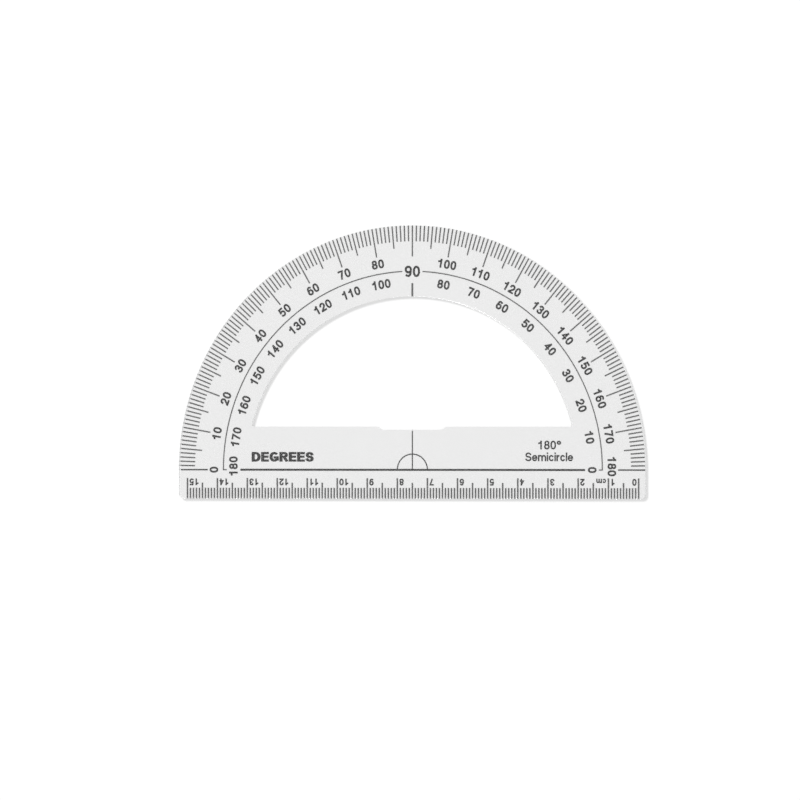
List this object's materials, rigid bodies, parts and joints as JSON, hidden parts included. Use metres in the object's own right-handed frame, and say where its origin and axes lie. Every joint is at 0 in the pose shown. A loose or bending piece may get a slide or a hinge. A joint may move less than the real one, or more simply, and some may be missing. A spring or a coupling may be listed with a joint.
{
  "type": "protractor",
  "caption": "Half-circle protractor in clear plastic: degree scale round the arch, half-ring window, and a bar with a centimetre ruler edge.",
  "frame": {"origin": "centre mark of the degree scale, on the underside of the plate", "axes": "+X along the base line, +Y from the centre mark to the 90 degree mark, +Z out of the upper face, the one the marks are read through"},
  "size_m": [0.155, 0.0867, 0.002],
  "materials": {
    "clear_plastic": "clear, smooth, moulded",
    "ink": "thin black print"
  },
  "bodies": {
    "root": {"plate": "clear_plastic", "base_line": "ink", "zero_line_left": "ink", "zero_line_right": "ink", "scale_arc_left": "ink", "scale_arc_right": "ink", "mark_90": "ink"}
  },
  "joints": []
}
